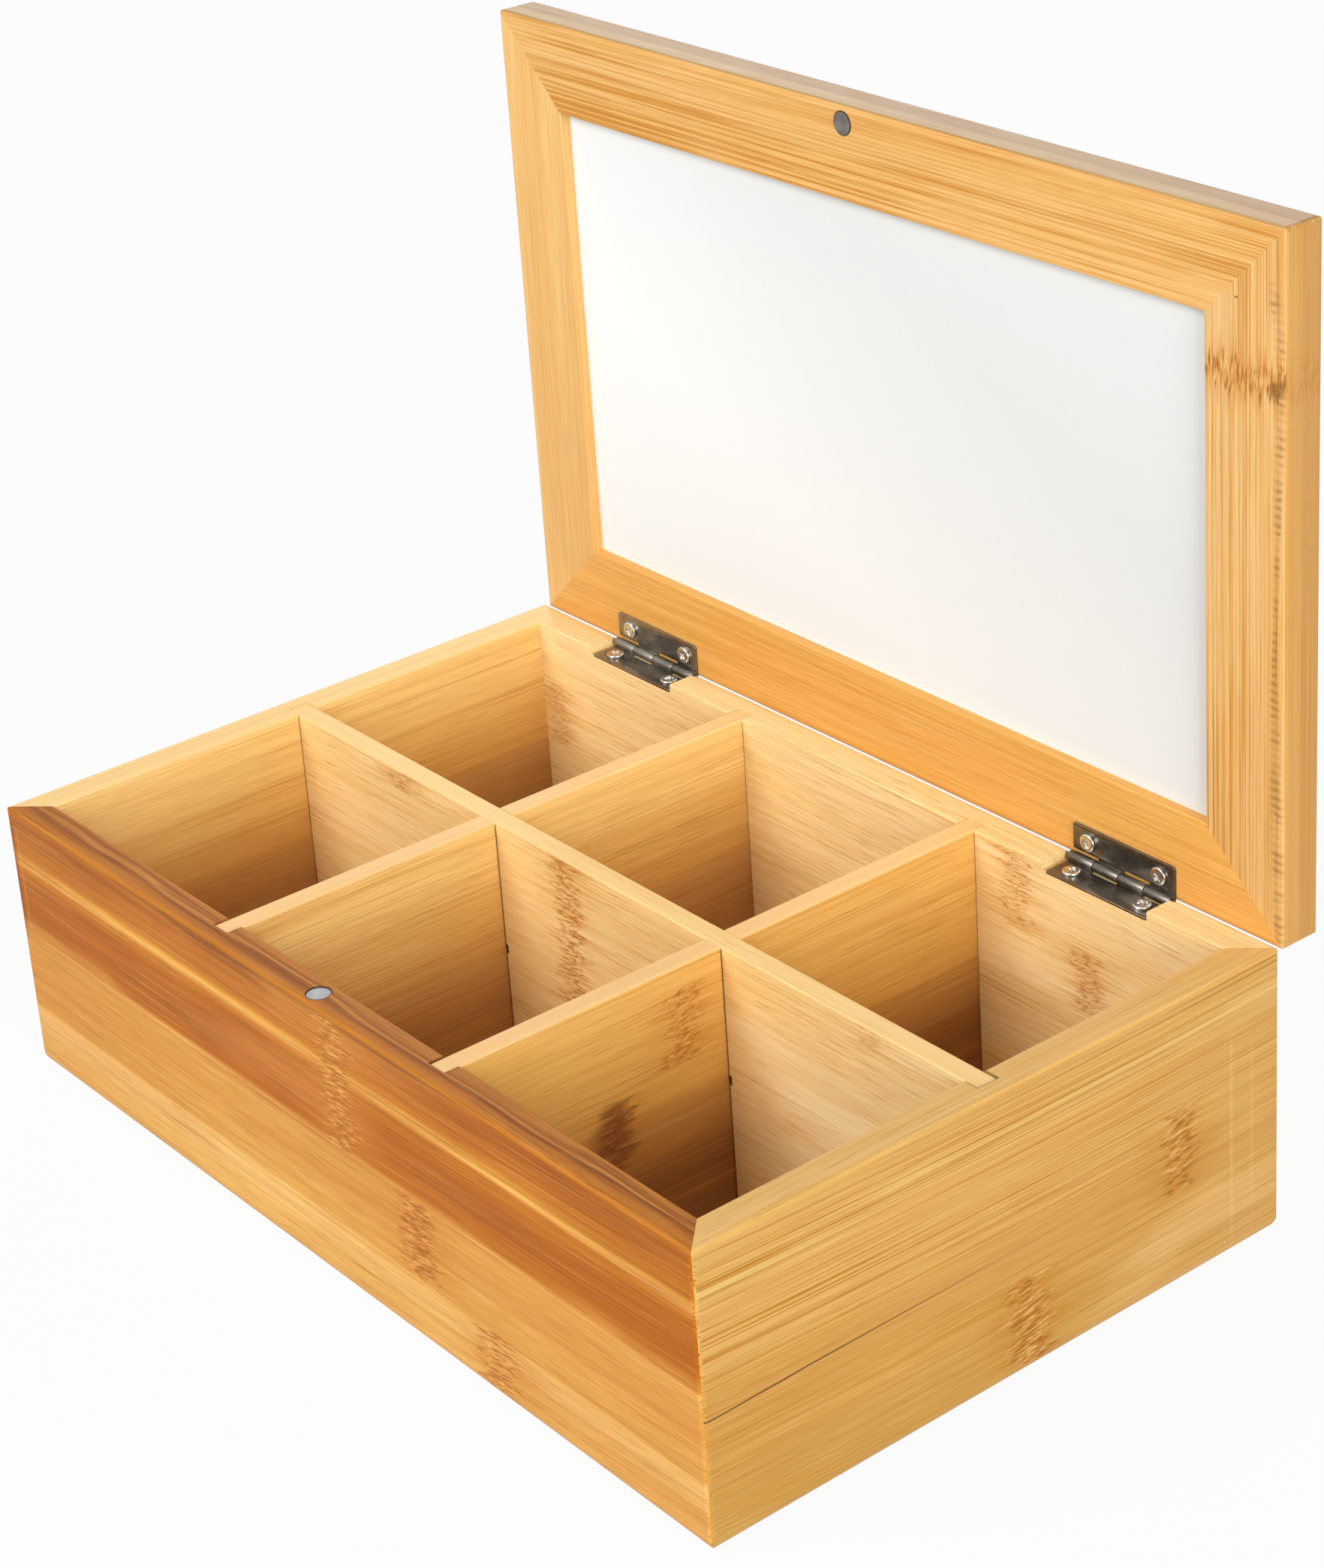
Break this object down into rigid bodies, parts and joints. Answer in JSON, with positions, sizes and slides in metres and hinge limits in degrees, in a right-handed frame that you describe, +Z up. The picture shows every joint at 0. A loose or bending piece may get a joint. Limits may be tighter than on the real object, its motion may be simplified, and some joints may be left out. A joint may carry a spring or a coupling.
{
  "type": "tea bag organizer box",
  "caption": "Mitred bamboo box with interlocking dividers that make compartments for tea bags, under a hinged lid with a frosted pane in a mitred frame.",
  "frame": {"origin": "on the table under the middle of the box body, on the underside of the bottom panel", "axes": "+X right along the front, +Y towards the hinges, +Z up"},
  "size_m": [0.29, 0.1932, 0.2575],
  "materials": {
    "caramel_bamboo": "satin, carbonised, streaked along the board",
    "light_bamboo": "satin, fine straight grain",
    "honey_bamboo": "satin, fine straight grain",
    "panel_bamboo": "satin sheet",
    "frosted_pane": "satin, frosted white",
    "hinge_steel": "dark nickel plate",
    "screw_steel": "bright plate",
    "bright_magnet": "nickel plate",
    "dark_magnet": "dull nickel plate"
  },
  "bodies": {
    "box": {"front_wall": "caramel_bamboo", "back_wall": "light_bamboo", "left_wall": "light_bamboo", "right_wall": "light_bamboo", "bottom_panel": "panel_bamboo", "long_divider": "light_bamboo", "left_cross_divider": "light_bamboo", "right_cross_divider": "light_bamboo", "box_magnet": "bright_magnet", "left_hinge_box_leaf": "hinge_steel", "left_hinge_pin": "hinge_steel", "left_hinge_box_screws": "screw_steel", "right_hinge_box_leaf": "hinge_steel", "right_hinge_pin": "hinge_steel", "right_hinge_box_screws": "screw_steel"},
    "lid": {"lid_front_rail": "honey_bamboo", "lid_back_rail": "honey_bamboo", "lid_left_rail": "honey_bamboo", "lid_right_rail": "honey_bamboo", "lid_pane": "frosted_pane", "lid_magnet": "dark_magnet", "left_hinge_lid_leaf": "hinge_steel", "left_hinge_lid_screws": "screw_steel", "right_hinge_lid_leaf": "hinge_steel", "right_hinge_lid_screws": "screw_steel"}
  },
  "joints": [
    {"name": "lid_hinge", "type": "hinge", "parent": "box", "child": "lid", "pos_m": [0, 0.0897, 0.0778], "axis": [1, 0, 0], "range_deg": [0, 90]}
  ]
}
